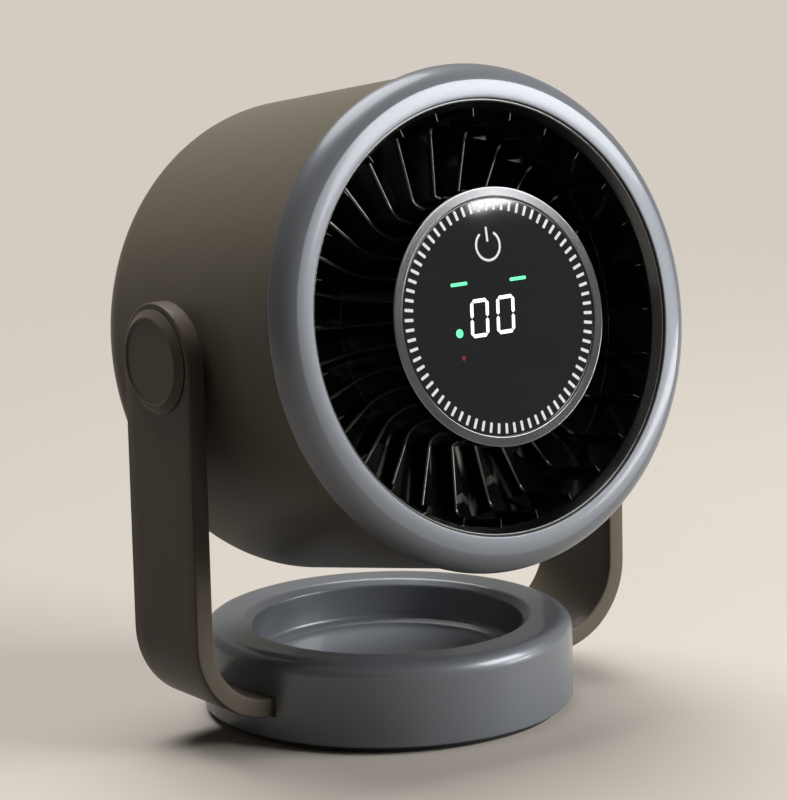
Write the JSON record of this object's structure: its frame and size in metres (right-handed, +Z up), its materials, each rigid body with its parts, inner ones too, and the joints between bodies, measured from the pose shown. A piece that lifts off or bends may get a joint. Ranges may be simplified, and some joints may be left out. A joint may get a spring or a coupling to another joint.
{
  "type": "air circulator fan",
  "caption": "Desktop air circulator fan: round barrel head with a digital display in its hub, tilting in a U-shaped yoke on a low dished round base.",
  "frame": {"origin": "middle of the round base, on the surface that it stands on", "axes": "+Z up; the fan blows towards -Y and its head tilts about an axis along X; rest pose is the pictured one, head tilted up 10.7 degrees"},
  "size_m": [0.1826, 0.1397, 0.2204],
  "materials": {
    "silver_paint": "satin metallic space-grey paint on moulded plastic",
    "taupe_paint": "satin metallic warm grey paint on moulded plastic",
    "taupe_metal": "satin warm grey coated aluminium",
    "steel": "plain steel",
    "screw_steel": "blackened steel",
    "magnet": "ground magnet",
    "copper": "enamelled copper wire",
    "brass": "plain brass",
    "black_nylon": "moulded black nylon",
    "black_rubber": "matte black rubber",
    "black_plastic": "semi-gloss black moulded plastic",
    "dark_plastic": "fine-textured dark grey plastic",
    "silver_button": "satin metallic paint",
    "light_grey_plastic": "satin light grey plastic",
    "chrome": "bright plated ring",
    "dark_glass": "smoked glass with a gloss front",
    "white_plastic": "translucent white light guide",
    "circuit_board": "solder-masked circuit board",
    "white_light": "white light segments, lit",
    "green_light": "green lights, lit",
    "battery_wrap": "shrink-wrapped cell",
    "cast_aluminium": "cast and turned aluminium"
  },
  "bodies": {
    "base": {"base_shell": "silver_paint", "base_plate": "steel", "base_foot_pad": "black_rubber", "base_ballast": "steel", "base_plate_screws": "screw_steel", "yoke": "taupe_metal", "yoke_screws": "screw_steel", "pivot_bush_left": "black_nylon", "pivot_bush_right": "black_nylon", "friction_washer_left": "black_rubber", "friction_washer_right": "black_rubber", "pivot_cap_left": "taupe_metal", "pivot_cap_right": "taupe_metal"},
    "head": {"pivot_pin_left": "steel", "pivot_pin_right": "steel", "pivot_insert_left": "brass", "pivot_insert_right": "brass", "barrel": "taupe_paint", "front_bezel": "silver_paint", "throat_ring": "black_plastic", "guide_vane_ring": "black_plastic", "hub_cup": "black_plastic", "impeller_shroud": "black_plastic", "duct_screws": "screw_steel", "display_ring": "chrome", "display_glass": "dark_glass", "tick_light_ring": "white_plastic", "display_board": "circuit_board", "digit_segments": "white_light", "status_lights": "green_light", "battery_cells": "battery_wrap", "battery_tray": "black_nylon", "control_board": "circuit_board", "motor_mount": "cast_aluminium", "motor_stator": "steel", "motor_coils": "copper", "motor_bearings": "steel", "rear_grille": "dark_plastic", "grille_screws": "screw_steel", "rear_cap": "dark_plastic", "rear_board": "circuit_board", "button_switch": "black_nylon", "charging_socket": "steel"},
    "rotor": {"rotor_shaft": "steel", "rotor_can": "steel", "rotor_magnets": "magnet", "impeller": "light_grey_plastic", "impeller_nut": "screw_steel"},
    "button": {"power_button": "silver_button"}
  },
  "joints": [
    {"name": "head_tilt", "type": "hinge", "parent": "base", "child": "head", "pos_m": [0, 0, 0.1295], "axis": [-1, 0, 0], "range_deg": [-45.7, 79.3]},
    {"name": "rotor_spin", "type": "hinge", "parent": "head", "child": "rotor", "pos_m": [0, 0, 0.1295], "axis": [0, -0.9825, 0.1862], "continuous": true},
    {"name": "power_button_press", "type": "slide", "parent": "head", "child": "button", "axis": [0, -0.9825, 0.1862], "range_m": [0, 0.0008], "stiffness_N_per_m": 400, "springref_m": -0.001}
  ]
}
